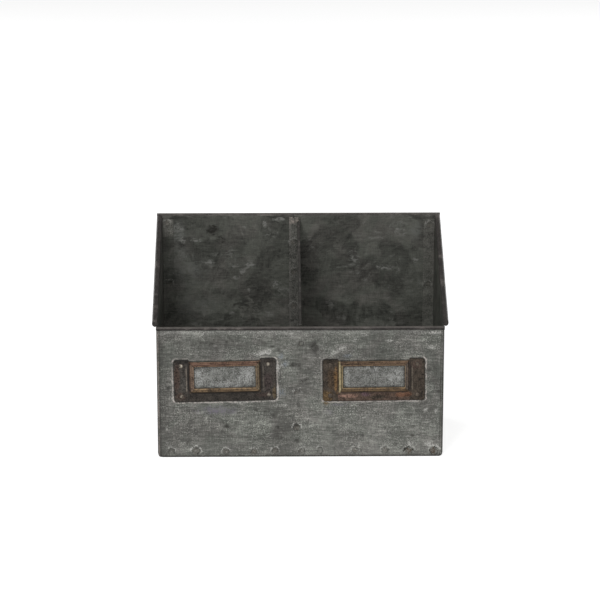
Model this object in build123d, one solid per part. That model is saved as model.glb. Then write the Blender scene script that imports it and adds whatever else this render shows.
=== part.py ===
from build123d import *
import os
from math import atan2, cos, degrees, radians, sin, tan

# A free-standing cutlery holder of galvanised sheet, in millimetres: low front, tall back, sides and a
# divider that slope between them, rims rolled round steel wire, and two riveted label frames.
# X runs to the right seen from the front, Y to the back and Z up. The origin is under the middle.

# Body, to the outer faces of its sheet
body_width = 196.6  # across the side panels
body_depth = 95.0  # front panel to back panel
front_height = 93.9  # top of the front rim
back_height = 152.0  # top of the back rim
rim_rise = 3.7  # side rims' top line above the front rim, at the front

# Sheet and flanges
sheet = 0.6
bend_radius = 1.2  # inside of each bend
lap_flange = 12.0  # front panel, lapped over the side panels
rear_flange = 8.5  # side panels, turned in against the back panel
base_flange = 8.0  # base pan, turned up against the walls
lower_corner = 3.0  # rounding of the front panel's lower corners
relief = 0.6  # clear of each other: flange ends and what they stop short of

# Rolled rims
wire_diameter = 2.6  # back and sides
front_wire_diameter = 1.3
wire_clearance = 0.05  # radial, wire to sheet
wire_setback = 0.5  # wire's ends inside the rim's ends
curl_sweep = 290.0  # degrees that the sheet turns round the wire
rim_gap = 0.15  # ends of the sloping edges to the front and back panels

# Divider
divider_offset = 0.7  # right of the middle
divider_flange = 7.7
divider_drop = 2.6  # hem below the side rims
hem_radius = 0.4  # inside of the folded top edge
hem_return = 5.0  # how far the fold comes down
hem_sweep = 180.0  # degrees, folded flat

# Label frames, cast, with a raised border that dips to its window
label_outsets = {"left": 2.5, "right": 1.1}  # centres outside the middle of each half of the front
label_height = 55.7  # centres above the table
label_tilts = {"left": 1.2, "right": 0.6}  # degrees askew, as riveted by hand
plate_width = 70.4
plate_height = 30.0
plate_round = 2.0
ear_width = 10.6  # flat ends that take the rivets
ear_thickness = 0.8
lower_strip = 6.4  # flat strip under the border
bezel_border = 3.5  # beside and under the window
bezel_round = 1.4
upper_border = 3.6  # window to the open top edge
slot_drop = 1.3  # open top edge below the ears
window_round = 1.2
ridge_height = 2.4  # border's highest line above the panel
ridge_inset = 1.1  # from the border's foot
ridge_land = 0.4  # flat top of the ridge
dish_depth = 0.6  # window's edge below the ridge
card_gap = 1.2  # room for a card behind the border
card_overlap = 2.0  # how far the card goes under the border

# Rivets
rivet_edge_x = 5.2  # centres to the frame's ends
rivet_edge_z = 4.1  # centres to its upper and lower edges
rivet_shank = 2.0
rivet_clearance = 0.05  # radial, shank to hole
rivet_head = 3.2
rivet_head_height = 0.6
rivet_tail = 3.0
rivet_tail_height = 0.7

# Faces and lines that the pieces share
bend_outside = bend_radius + sheet
curl_inside = wire_diameter / 2 + wire_clearance
curl_outside = curl_inside + sheet
rim_stand = 2 * curl_outside - sheet  # rolled rims outside their walls
front_curl_inside = front_wire_diameter / 2 + wire_clearance
front_curl_outside = front_curl_inside + sheet
front_stand = max(2 * front_curl_outside - sheet, ridge_height)  # front rim or label frames
centring = (front_stand - rim_stand) / 2  # puts the origin under the middle of the whole depth
front_face = -body_depth / 2
back_face = body_depth / 2
front_inside = front_face + sheet
back_inside = back_face - sheet
side_face = body_width / 2
side_inside = side_face - sheet
corner_face = side_face + sheet
flange_foot = base_flange + relief
slope = atan2(back_height - front_height - rim_rise, body_depth)
reach = body_width + body_depth + back_height


def rim_line(y):
    """Height of the side rims' top at a depth."""
    return front_height + rim_rise + (y - front_face) * tan(slope)


def below_rim(y, drop):
    """Height of a line that runs square to the slope by drop under the side rims' top."""
    return rim_line(y) - drop / cos(slope)


def bent_sheet(points, inner_side):
    """Section of a sheet bent square at each inner point, from the line of its outer face."""
    outer = FilletPolyline(*points, radius=bend_outside)
    return make_face(offset(outer, amount=sheet, side=inner_side))


def channel(start, end, face, tips):
    """Section of a sheet along y = face from start to end, with both ends bent square towards y = tips."""
    return bent_sheet([(start, tips), (start, face), (end, face), (end, tips)], Side.LEFT)


def curled_edge(inside, sweep):
    """Section of a sheet turned over to +X, with its outer face on x = 0 up to y = 0."""
    outer = CenterArc((inside, 0), inside + sheet, 180, -sweep)
    inner = CenterArc((inside, 0), inside, 180, -sweep)
    return make_face([outer, inner, Line(outer @ 0, inner @ 0), Line(outer @ 1, inner @ 1)])


def sheet_strip(x, length):
    """Section of a flat stretch of sheet that hangs from y = 0, with its outer face at x."""
    return Pos(x - sheet, -length) * Rectangle(sheet, length, align=Align.MIN)


def slope_plane(x):
    """Plane across the sloping edges, at the rims' top line, with its own x to the left and y up."""
    return Plane((x, 0, rim_line(0)), x_dir=(-1, 0, 0), z_dir=(0, cos(slope), sin(slope)))


def between_panels(shape):
    """Cut a sloping edge off square, just short of the front and back panels."""
    return shape & Box(reach, back_inside - front_inside - 2 * rim_gap, 2 * reach)


def label_plane(side):
    """Plane on the front panel's outer face at a label frame's centre, facing forward."""
    outwards = 1 if side == "right" else -1
    tilt = radians(label_tilts[side])
    centre = outwards * (corner_face / 2 + label_outsets[side])
    return Plane((centre, front_face, label_height), x_dir=(cos(tilt), 0, sin(tilt)), z_dir=(0, -1, 0))


def at_rivets(shape):
    """Copies of a shape at a label frame's four rivets."""
    across = plate_width - 2 * rivet_edge_x
    upward = plate_height - 2 * rivet_edge_z
    return [place * shape for place in GridLocations(across, upward, 2, 2)]


def rivet_holes():
    """Four drills through a label frame and the panel behind it."""
    return at_rivets(Cylinder(rivet_shank / 2 + rivet_clearance, 4 * (sheet + ear_thickness)))


def front_panel():
    lap_top = front_height - 2 * front_curl_outside - relief
    wall_height = front_height - front_curl_outside
    rim = Plane((0, front_face, wall_height), x_dir=(0, -1, 0), z_dir=(-1, 0, 0))
    panel = extrude(channel(-corner_face, corner_face, front_face, front_face + lap_flange), lap_top)
    panel += extrude(rim * sheet_strip(0, wall_height), corner_face - bend_outside, both=True)
    panel += extrude(rim * curled_edge(front_curl_inside, curl_sweep), corner_face, both=True)
    blank = Rectangle(2 * corner_face, front_height, align=(Align.CENTER, Align.MIN))
    blank = fillet(blank.vertices().group_by(Axis.Y)[0], lower_corner)
    panel &= extrude(Plane.XZ * blank, reach, both=True)
    lap_start = front_face + bend_outside
    lap_end = front_face + lap_flange
    lap = Polyline(
        (lap_start, lap_top),
        (lap_end, lap_top),
        (lap_end, below_rim(lap_end, 2 * curl_outside) - relief),
        (lap_start, below_rim(lap_start, 2 * curl_outside) - relief),
        close=True,
    )
    for inner_face in (side_face, -corner_face):
        panel += extrude(Plane.YZ.offset(inner_face) * make_face(lap), sheet)
    for side in label_tilts:
        for hole in rivet_holes():
            panel -= label_plane(side) * hole
    return panel


def back_panel():
    wall_height = back_height - curl_outside
    rim = Plane((0, back_face, wall_height), x_dir=(0, 1, 0), z_dir=(1, 0, 0))
    panel = extrude(rim * sheet_strip(0, wall_height), side_face, both=True)
    return panel + extrude(rim * curled_edge(curl_inside, curl_sweep), side_face + rim_stand, both=True)


def left_side_panel():
    front_edge = front_inside + bend_radius
    rear_edge = back_inside - rim_gap
    rear_bend = back_inside - bend_outside
    wall = Polyline(
        (front_edge, 0),
        (rear_edge, 0),
        (rear_edge, base_flange),
        (rear_bend, base_flange),
        (rear_bend, below_rim(rear_bend, curl_outside)),
        (front_edge, below_rim(front_edge, curl_outside)),
        close=True,
    )
    panel = extrude(Plane.YZ.offset(-side_face) * make_face(wall), sheet)
    run_in = rear_bend - bend_outside
    flange_line = [(-side_face, run_in), (-side_face, back_inside), (rear_flange - side_face, back_inside)]
    flange_top = below_rim(rear_bend, curl_outside) - relief
    flange = bent_sheet(flange_line, Side.RIGHT)
    panel += extrude(Pos(0, 0, flange_foot) * flange, flange_top - flange_foot)
    rim = slope_plane(-side_face) * Pos(0, -curl_outside) * curled_edge(curl_inside, curl_sweep)
    return panel + between_panels(extrude(rim, reach, both=True))


def base_pan():
    notch = bend_outside + relief
    across = Plane.XZ * channel(-side_inside, side_inside, 0, base_flange)
    along = Plane.YZ * channel(front_inside, back_inside, 0, base_flange)
    pan = extrude(across, back_inside - notch, both=True)
    return pan + extrude(along, side_inside - notch, both=True)


def divider():
    right_face = divider_offset + sheet / 2
    web_front = front_inside + bend_outside
    web_rear = back_inside - bend_outside
    hem_top = divider_drop + hem_radius + sheet
    under_hem = hem_top + hem_return
    front_top = below_rim(front_inside, under_hem) - relief
    rear_top = back_height - curl_outside - relief
    plan = Rot(0, 0, 90) * channel(front_inside, back_inside, -right_face, divider_flange - right_face)
    outline = Polyline(
        (web_front, sheet),
        (web_front, flange_foot),
        (front_inside, flange_foot),
        (front_inside, front_top),
        (web_front, front_top),
        (web_front, below_rim(web_front, hem_top)),
        (web_rear, below_rim(web_rear, hem_top)),
        (web_rear, rear_top),
        (back_inside, rear_top),
        (back_inside, flange_foot),
        (web_rear, flange_foot),
        (web_rear, sheet),
        close=True,
    )
    web = extrude(plan, back_height)
    web &= extrude(Plane.YZ * make_face(outline), reach, both=True)
    fold = curled_edge(hem_radius, hem_sweep) + sheet_strip(0, hem_return)
    fold += sheet_strip(2 * hem_radius + sheet, hem_return)
    hem = between_panels(extrude(slope_plane(right_face - sheet) * Pos(0, -hem_top) * fold, reach, both=True))
    return web + split(hem, Plane.XZ.offset(relief - web_rear), keep=Keep.TOP)


def straight_wire(diameter, y, z, half_length):
    centre = Plane((0, y, z), x_dir=(0, 1, 0), z_dir=(1, 0, 0))
    return extrude(centre * Circle(diameter / 2), half_length - wire_setback, both=True)


def front_rim_wire():
    height = front_height - front_curl_outside
    return straight_wire(front_wire_diameter, front_face - front_curl_inside, height, corner_face)


def back_rim_wire():
    height = back_height - curl_outside
    return straight_wire(wire_diameter, back_face + curl_inside, height, side_face + rim_stand)


def left_rim_wire():
    section = slope_plane(-side_face) * Pos(curl_inside, -curl_outside) * Circle(wire_diameter / 2)
    length = back_inside - front_inside - 2 * rim_gap - 2 * wire_setback
    return extrude(section, reach, both=True) & Box(reach, length, 2 * reach)


def label_frame():
    """One frame on the local plane, standing out along +Z, open at its top edge for the card."""
    upper = plate_height / 2
    bezel_foot = lower_strip - plate_height / 2
    bezel_width = plate_width - 2 * ear_width
    window_foot = bezel_foot + bezel_border
    window_width = bezel_width - 2 * bezel_border
    window_height = upper - slot_drop - upper_border - window_foot
    dish = bezel_border - ridge_inset - ridge_land
    past_top = upper + ridge_height
    lean = degrees(atan2(ridge_inset, ridge_height))

    def opening(grow, round_, top):
        """Rounded outline, larger than the window by grow at its foot and sides, up to a height."""
        foot = window_foot - grow
        outline = RectangleRounded(window_width + 2 * grow, top - foot, round_)
        return Pos(0, (top + foot) / 2) * outline

    window = opening(0, window_round, window_foot + window_height)
    rim = opening(dish, window_round, window_foot + window_height + dish)
    frame = extrude(RectangleRounded(plate_width, plate_height, plate_round), ear_thickness)
    frame += extrude(opening(bezel_border, bezel_round, past_top), ridge_height, taper=lean)
    frame -= extrude(opening(card_overlap, window_round, past_top), card_gap)
    frame -= extrude(window, ridge_height)
    frame -= loft([Pos(0, 0, ridge_height - dish_depth) * window, Pos(0, 0, ridge_height) * rim])
    frame &= Box(plate_width, plate_height, 2 * ridge_height)
    frame -= Pos(0, upper) * Box(bezel_width, 2 * slot_drop, 4 * ridge_height)
    for hole in rivet_holes():
        frame -= hole
    return frame


def rivet():
    """One rivet along +Z, with the front panel's outer face on z = 0."""
    head_top = ear_thickness + rivet_head_height
    dome = TangentArc((0, head_top), (rivet_head / 2, ear_thickness), tangent=(1, 0))
    stem = Polyline(
        (rivet_head / 2, ear_thickness),
        (rivet_shank / 2, ear_thickness),
        (rivet_shank / 2, -sheet),
        (rivet_tail / 2, -sheet),
        (rivet_tail / 2, -sheet - rivet_tail_height),
        (0, -sheet - rivet_tail_height),
        (0, head_top),
    )
    return revolve(Plane.XZ * make_face([dome, stem]), Axis.Z)


left_panel = left_side_panel()
left_wire = left_rim_wire()
parts = {
    "front_panel": front_panel(),
    "back_panel": back_panel(),
    "left_side_panel": left_panel,
    "right_side_panel": mirror(left_panel, Plane.YZ),
    "base_pan": base_pan(),
    "divider": divider(),
    "front_rim_wire": front_rim_wire(),
    "back_rim_wire": back_rim_wire(),
    "left_rim_wire": left_wire,
    "right_rim_wire": mirror(left_wire, Plane.YZ),
}
for side in label_tilts:
    parts[f"{side}_label_frame"] = label_plane(side) * label_frame()
    parts[f"{side}_label_rivets"] = Compound([label_plane(side) * one for one in at_rivets(rivet())])

os.makedirs("parts", exist_ok=True)
for name, shape in parts.items():
    export_step(Pos(0, centring, 0) * shape, f"parts/{name}.step")
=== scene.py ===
import random
from math import atan2, ceil, cos, pi, radians, sin, sqrt, tan

import bmesh
import bpy
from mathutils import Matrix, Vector
from mathutils.kdtree import KDTree


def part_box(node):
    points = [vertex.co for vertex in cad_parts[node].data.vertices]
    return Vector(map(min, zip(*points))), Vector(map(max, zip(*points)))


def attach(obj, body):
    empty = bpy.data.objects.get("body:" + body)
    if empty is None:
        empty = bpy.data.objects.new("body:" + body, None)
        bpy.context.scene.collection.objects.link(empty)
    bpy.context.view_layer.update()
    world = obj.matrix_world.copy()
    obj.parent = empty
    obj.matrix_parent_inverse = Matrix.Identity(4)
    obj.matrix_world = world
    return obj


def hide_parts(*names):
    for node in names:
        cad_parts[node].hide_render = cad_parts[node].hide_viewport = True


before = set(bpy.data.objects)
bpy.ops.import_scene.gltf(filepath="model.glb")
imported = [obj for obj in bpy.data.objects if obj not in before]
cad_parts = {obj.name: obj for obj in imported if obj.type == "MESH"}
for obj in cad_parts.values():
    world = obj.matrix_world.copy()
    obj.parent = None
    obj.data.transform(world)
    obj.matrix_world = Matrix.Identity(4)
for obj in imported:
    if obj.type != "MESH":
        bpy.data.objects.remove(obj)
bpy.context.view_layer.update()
mm = 0.001

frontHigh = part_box("front_panel")[1]
backLow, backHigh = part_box("back_panel")
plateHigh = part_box("left_label_frame")[1]
wireLow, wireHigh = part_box("front_rim_wire")

# What all the sheet-metal pieces share. The rest of the body is read from the frame.
body = {
    "sheet": 0.6 * mm,
    "bend": 1.2 * mm,  # inside of each bend
    "roll": 1.35 * mm,  # inside of the rolled rims at the back and the sides
    "frontRoll": 0.7 * mm,  # the front one is finer
    "rollTurn": radians(290),
    "rollSteps": 30,
    "bendParts": 8,
    "rimRise": 3.7 * mm,  # side rims above the front rim
    "relief": 0.6 * mm,  # flange ends clear of what they stop short of
    "rimGap": 0.15 * mm,  # sloping rims to the front and the back
    "baseFlange": 8.0 * mm,
    "level": 20 * mm,  # above this the rows of a sloping sheet's grid lean with the slope
    "gridStep": 1.8 * mm,
    "weldStep": 0.75 * mm,  # finer grid round each weld
    "weldReach": 3.4 * mm,
    "apart": (0.6, 1.4),  # least gap of those lines and of the others, in steps
    "weldDish": (1.2 * mm, 2.6 * mm),  # bottom and edge of the dimple that a weld leaves
    "weldPress": 0.3,  # its depth, as a share of the sheet
    "weldFar": 9,  # millimetres, farther than any weld's mark
    "joinWithin": 0.01 * mm,
    "edgeSoft": 0.14 * mm,  # rounding of the cut edges
}
sheet = body["sheet"]
bendOut = body["bend"] + sheet
rollIn = body["roll"]
rollOut = rollIn + sheet
frontRollIn = body["frontRoll"]
frontRollOut = frontRollIn + sheet
cornerFace = frontHigh.x
sideFace = cornerFace - sheet
sideInside = sideFace - sheet
backFace = (backLow.y + sheet - plateHigh.y) / 2  # the body is drawn about its own middle
backInside = backFace - sheet
rearBend = backInside - bendOut
bodyMiddle = backLow.y - backInside
frontFace = -backFace
frontInside = -backInside
frontTop = (wireLow.z + wireHigh.z) / 2 + frontRollOut
backTop = backHigh.z
slope = atan2(backTop - frontTop - body["rimRise"], backFace - frontFace)
flangeFoot = body["baseFlange"] + body["relief"]
bendFaces = (bendOut, body["bend"])  # outside and inside
bendRun = bendOut * pi / 2  # along the outside of a bend
bendSteps = [bendRun * i / body["bendParts"] for i in range(body["bendParts"])]
rollTurns = [body["rollTurn"] * i / body["rollSteps"] for i in range(body["rollSteps"] + 1)]


def belowRim(y, drop):  # height of a line under the side rims' top, drop is square to the slope
    return frontTop + body["rimRise"] + (y - frontFace) * tan(slope) - drop / cos(slope)


# Height of a row where the sheet is top high. Rows are named by their height where it is tallest.
def leaned(t, top, tallest):
    level = body["level"]
    return t if t < level else level + (t - level) * (top - level) / (tallest - level)


def metres(spots):
    return [(spot[0] * mm, spot[1] * mm) for spot in spots]


def smoothStep(low, high, value):
    share = min(max((value - low) / (high - low), 0), 1)
    return share * share * (3 - 2 * share)


# Grid lines from start to end, closer together round the welds.
def gridLines(start, end, near=(), step=body["gridStep"]):
    count = max(ceil((end - start) / step), 1)
    places = [(start + (end - start) * i / count, 1) for i in range(1, count)]
    reach = ceil(body["weldReach"] / body["weldStep"])
    for middle in near:
        places += [(middle + i * body["weldStep"], 0) for i in range(-reach, reach + 1)]
    taken = [start, end]
    for place, rank in sorted(places, key=lambda one: (one[1], one[0])):
        gap = body["weldStep"] * body["apart"][rank]
        if start < place < end and min(abs(place - other) for other in taken) > gap:
            taken.append(place)
    return sorted(taken)


def newObject(name, data):
    made = bpy.data.objects.new(name, data)
    bpy.context.scene.collection.objects.link(made)
    return made


def showPiece(name, mesh, node, paint):
    piece = newObject(name, mesh)
    piece.data.materials.clear()
    piece.data.materials.append(paint)
    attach(piece, "root")
    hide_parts(node)
    return piece


def softenEdges(piece, width, segments=2, angle=35):
    for face in piece.data.polygons:
        face.use_smooth = True
    bevel = piece.modifiers.new("soft edges", "BEVEL")
    bevel.width = width
    bevel.segments = segments
    bevel.limit_method = "ANGLE"
    bevel.angle_limit = radians(angle)
    bevel.miter_outer = "MITER_ARC"
    normals = piece.modifiers.new("even shading", "WEIGHTED_NORMAL")
    normals.keep_sharp = True


# Builds a sheet from patches of (columns, rows, place, keep). place(s, t) gives the points on the two faces
# and how far the sheet is rolled there, and keep(s, t) says where there is sheet. Patches join where their
# points meet. What the paint needs to know is kept with the points: rolled or not, which face, the nearest
# weld and the stains.
def foldSheet(name, patches, welds, indoors=False, stains=()):
    build = bmesh.new()
    build.verts.layers.float_vector.new("other")
    for look in ["rim", "inside", "weldGap", "weldUp", "weldDark", "weldPale", *stains]:
        build.verts.layers.float.new(look)
    kept = build.verts.layers.float
    rolled, inside = kept["rim"], kept["inside"]
    otherFace = build.verts.layers.float_vector["other"]
    for columns, rows, place, keep in patches:
        made = {}
        for c in range(len(columns) - 1):
            for r in range(len(rows) - 1):
                if not keep((columns[c] + columns[c + 1]) / 2, (rows[r] + rows[r + 1]) / 2):
                    continue
                corners = []
                for spot in ((c, r), (c + 1, r), (c + 1, r + 1), (c, r + 1)):
                    if spot not in made:
                        outer, inner, share = place(columns[spot[0]], rows[spot[1]])
                        made[spot] = build.verts.new(outer)
                        made[spot][otherFace] = Vector(inner)
                        made[spot][rolled] = share
                    corners.append(made[spot])
                build.faces.new(corners)
    bmesh.ops.remove_doubles(build, verts=build.verts[:], dist=body["joinWithin"])
    outerFaces = build.faces[:]
    rimEdges = [edge for edge in build.edges if edge.is_boundary]
    twins = {}
    for vert in build.verts[:]:
        twins[vert] = build.verts.new(vert[otherFace])
        twins[vert][rolled] = vert[rolled]
        vert[inside] = 1 if indoors else 0
        twins[vert][inside] = 1
    for face in outerFaces:
        build.faces.new([twins[vert] for vert in reversed(face.verts)])
    for edge in rimEdges:
        a, b = edge.verts
        build.faces.new((a, b, twins[b], twins[a]))
    near = KDTree(len(welds))
    for i, weld in enumerate(welds):
        near.insert(weld["place"], i)
    near.balance()
    far = body["weldFar"]
    for outer, inner in twins.items():
        across = inner.co - outer.co
        for vert, inwards in ((outer, 1), (inner, -1)):
            for paint in stains:
                vert[kept[paint]] = stained(vert.co, stains[paint])
            vert[kept["weldGap"]] = far
            if welds:
                weld = welds[near.find(vert.co)[1]]
                gap = (vert.co - weld["place"]).length / weld["size"]
                above = (vert.co.z - weld["place"].z) / weld["size"]
                vert[kept["weldGap"]] = min(gap / mm, far)
                vert[kept["weldUp"]] = min(max(above / mm, -far), far)
                vert[kept["weldDark"]] = weld["dark"]
                vert[kept["weldPale"]] = weld["pale"]
                pressed = body["weldPress"] * (1 - smoothStep(*body["weldDish"], gap))
                vert.co += across * inwards * pressed
    build.verts.layers.float_vector.remove(build.verts.layers.float_vector["other"])
    bmesh.ops.recalc_face_normals(build, faces=build.faces[:])
    return finishMesh(name, build)


def finishMesh(name, build):  # moves a piece from the body's own middle to the frame's origin
    bmesh.ops.translate(build, verts=build.verts[:], vec=(0, bodyMiddle, 0))
    mesh = bpy.data.meshes.new(name)
    build.to_mesh(mesh)
    build.free()
    return mesh


# Strongest of some patches, each (x, z, half width, half height, strength), in millimetres.
def stained(point, spots):
    most = 0
    reach = 1.3  # how far out a patch fades away
    for x, z, wide, tall, strength in spots:
        across = (point.x / mm - x) / wide
        up = (point.z / mm - z) / tall
        most = max(most, strength * (reach - sqrt(across * across + up * up)) / reach)
    return most


# Spot welds from (across, up) in millimetres, with size, darkness and pale ring where not the usual ones.
# The pale ring is pale oxide, with a painted highlight on its upper side.
def spotWelds(spots, place):
    welds = []
    for across, up, *looks in spots:
        size, dark, pale = looks or (1.0, 0.25, 0.15)
        middle = Vector(place(across * mm, up * mm))
        welds.append({"place": middle, "size": size, "dark": dark, "pale": pale})
    return welds


def always(s, t):
    return True


# The two faces of a rolled edge, turned so far from the wall. place gets how far across and up from the
# roll's middle, and lean is the cosine of a sloping rim.
def rolledOver(turn, radii, place, lean=1.0):
    return [Vector(place(cos(turn) * r, sin(turn) / lean * r)) for r in radii]


# The two faces of a flange, at s along its bend and on from there. place gets how far out they lie in line
# with the sheet, and how far up from it.
def flanged(s, place):
    turn = min(s / bendOut, pi / 2)
    past = max(s - bendRun, 0)
    return [Vector(place(r * sin(turn), bendOut - r * cos(turn) + past)) for r in bendFaces]


def rollShare(turn):  # 0 on the flat wall, 1 once the sheet has left it
    return smoothStep(0, 0.5, turn)


print("frame loaded:", len(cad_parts), "nodes")


# A socket in a material, so that shader maths reads as sums.
class Strand:
    def __init__(self, tree, socket=None):
        self.tree = tree
        self.socket = socket

    def node(self, kind, settings=None, inputs=None, output=0):
        made = self.tree.nodes.new(kind)
        for name, value in (settings or {}).items():
            setattr(made, name, value)
        for name, value in (inputs or {}).items():
            if isinstance(value, Strand):
                self.tree.links.new(value.socket, made.inputs[name])
            else:
                made.inputs[name].default_value = value
        return Strand(self.tree, made.outputs[output] if made.outputs else None)

    def maths(self, operation, first, second=0.0):
        return self.node("ShaderNodeMath", {"operation": operation}, {0: first, 1: second})

    def __add__(self, other):
        return self.maths("ADD", self, other)

    def __radd__(self, other):
        return self.maths("ADD", other, self)

    def __sub__(self, other):
        return self.maths("SUBTRACT", self, other)

    def __rsub__(self, other):
        return self.maths("SUBTRACT", other, self)

    def __mul__(self, other):
        return self.maths("MULTIPLY", self, other)

    def __rmul__(self, other):
        return self.maths("MULTIPLY", other, self)

    def __neg__(self):
        return self.maths("MULTIPLY", self, -1.0)

    def __abs__(self):
        return self.maths("ABSOLUTE", self)

    def __pow__(self, other):
        return self.maths("POWER", self, other)

    def most(self, other):
        return self.maths("MAXIMUM", self, other)

    def least(self, other):
        return self.maths("MINIMUM", self, other)

    def fade(self, start, end):  # 0 at start, 1 at end, also with end below start
        low, high, first, last = (start, end, 0.0, 1.0) if start < end else (end, start, 1.0, 0.0)
        inputs = {"Value": self, "From Min": low, "From Max": high, "To Min": first, "To Max": last}
        return self.node("ShaderNodeMapRange", {"interpolation_type": "SMOOTHSTEP"}, inputs)

    def length(self, other):  # of these two, square to each other
        return (self ** 2 + other ** 2) ** 0.5

    def band(self, middle, width):  # 1 on a line, 0 at half a width from it
        return abs(self - middle).fade(width / 2, 0.0)

    def mix(self, first, second):  # colours, with this value as the share of the second
        return self.node("ShaderNodeMix", {"data_type": "RGBA"}, {0: self, 6: first, 7: second}, 2)

    def tint(self, colour):  # a colour, brightened or darkened by this value
        return self.node("ShaderNodeMix", {"data_type": "RGBA", "blend_type": "MULTIPLY"},
                         {0: 1.0, 6: colour, 7: self}, 2)

    def vector(self, operation, inputs):
        return self.node("ShaderNodeVectorMath", {"operation": operation}, inputs)

    def shifted(self, by):
        return self.vector("ADD", {0: self, 1: by})

    def known(self, name):  # a value kept with the points
        return self.node("ShaderNodeAttribute", {"attribute_name": name}, {}, "Fac")

    def axes(self):
        first = self.node("ShaderNodeSeparateXYZ", {}, {0: self})
        return [Strand(self.tree, first.socket.node.outputs[i]) for i in range(3)]

    # Soft noise of about the given size in metres, 0 to 1, stretched along x, y, z.
    def cloud(self, size, detail=2.0, rough=0.5, stretch=(1, 1, 1), start=0.0, warp=0.0):
        spread = tuple(1 / (size * one) for one in stretch)
        shift = (start, start * 1.7, start * 0.6)
        place = self.vector("MULTIPLY_ADD", {0: self, 1: spread, 2: shift})
        inputs = {"Scale": 1.0, "Detail": detail, "Roughness": rough, "Distortion": warp}
        return place.node("ShaderNodeTexNoise", {}, {"Vector": place, **inputs})

    def crystals(self, size, stretch=(1, 1, 1), output="Color", soft=0.0):
        place = self.vector("MULTIPLY", {0: self, 1: tuple(1 / (size * one) for one in stretch)})
        inputs = {"Vector": place, "Scale": 1.0}
        kind = "F1"
        if soft:
            inputs["Smoothness"] = soft
            kind = "SMOOTH_F1"
        return place.node("ShaderNodeTexVoronoi", {"feature": kind}, inputs, output)


def shade(red, green, blue):  # a screen colour, 0 to 255, as Blender's linear one
    channels = [one / 255 for one in (red, green, blue)]
    linear = [one / 12.92 if one <= 0.04045 else ((one + 0.055) / 1.055) ** 2.4 for one in channels]
    return (*linear, 1.0)


def clearNodes(data):
    data.use_nodes = True
    data.node_tree.nodes.clear()
    return Strand(data.node_tree)


def newPaint(name):
    material = bpy.data.materials.new(name)
    start = clearNodes(material)
    place = start.node("ShaderNodeTexCoord", {}, {}, "Object")
    return material, start, place.shifted((0, -bodyMiddle, 0))


def finishPaint(start, colour, rough, metal, height, depth, strength, shine=0.3):
    bump = start.node("ShaderNodeBump", {}, {"Height": height, "Strength": strength, "Distance": depth})
    inputs = {"Base Color": colour, "Roughness": rough, "Metallic": metal, "Normal": bump}
    inputs["Specular IOR Level"] = shine
    surface = start.node("ShaderNodeBsdfPrincipled", {}, inputs)
    start.node("ShaderNodeOutputMaterial", {}, {"Surface": surface})


# Weathered zinc: pale and mottled outside, dark with feathery spangle inside (partly patina, partly painted
# shade), brown-black on the rims.
zinc = {
    "outside": shade(98, 99, 94),
    "outsideWarm": shade(101, 100, 96),
    "oxide": shade(176, 175, 170),
    "grime": shade(48, 47, 44),
    # inside colours: darker than outside, partly patina and partly painted shade
    "inside": shade(71, 72, 67),
    "insideWarm": shade(74, 73, 69),
    "insidePale": shade(112, 112, 108),
    "insideDark": shade(40, 40, 37),
    "rim": shade(52, 49, 47),
    "rimWearAndSheen": shade(108, 103, 99),
    "pool": shade(58, 57, 54),
    "soot": shade(36, 35, 32),
    "haze": shade(92, 93, 89),
    "dusk": shade(46, 46, 43),
    "mauve": shade(108, 104, 112),
    "slate": shade(122, 128, 134),
    "rust": shade(98, 83, 60),
    "card": shade(182, 183, 180),
    "corner": shade(96, 95, 90),
    "bendSheen": shade(160, 146, 140),
    "halo": shade(192, 184, 178),
    "weld": shade(78, 69, 60),
    "flange": shade(87, 86, 82),
    "flangeEdge": shade(112, 109, 105),
    "flangeWorn": shade(160, 148, 140),
}


# Spangle: every crystal has its own tone and its own direction of feathers.
def feathers(place, size):
    wander = (place.cloud(size * 0.6, 3, 0.6, start=2.2) - 0.5) * (size * 0.9)
    wandered = place.shifted(wander.vector("SCALE", {0: (1, 1, 1), "Scale": wander}))
    level = (1.3, 1.3, 1)
    pick, seed = wandered.crystals(size, level).axes()[::2]
    tone = wandered.crystals(size, level, soft=0.35).axes()[1]
    x, y, z = place.axes()
    along = x + y * 0.6
    upward = z + y * 0.8
    turn = pick * pi
    cosine = turn.maths("COSINE", turn)
    sine = turn.maths("SINE", turn)
    u = (along * cosine + upward * sine) * (1 / (size * 0.8))
    v = (upward * cosine - along * sine) * (1 / (size * 0.26))
    spot = turn.node("ShaderNodeCombineXYZ", {}, {0: u, 1: v, 2: seed * 40})
    inputs = {"Vector": spot, "Scale": 1.0, "Detail": 3.0, "Roughness": 0.6}
    return tone, spot.node("ShaderNodeTexNoise", {}, inputs)


# How ragged and how strong each kind of stain is, where it differs from the usual.
stainEdges = {
    "usual": (1.4, 1.0),
    "pool": (0.5, 1.25),
    "soot": (0.5, 1.6),
    "haze": (0.3, 1.0),
    "dusk": (0.3, 1.0),
}


def dab(start, colour, stains, ragged, limit):
    for paint in stains:
        torn, strength = stainEdges.get(paint, stainEdges["usual"])
        field = start.known(paint)
        here = field.fade(0.0, 0.2) * (field + (ragged - 0.5) * torn).fade(0.05, 0.65)
        colour = (here * limit * strength).mix(colour, zinc[paint])
    return colour


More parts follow.
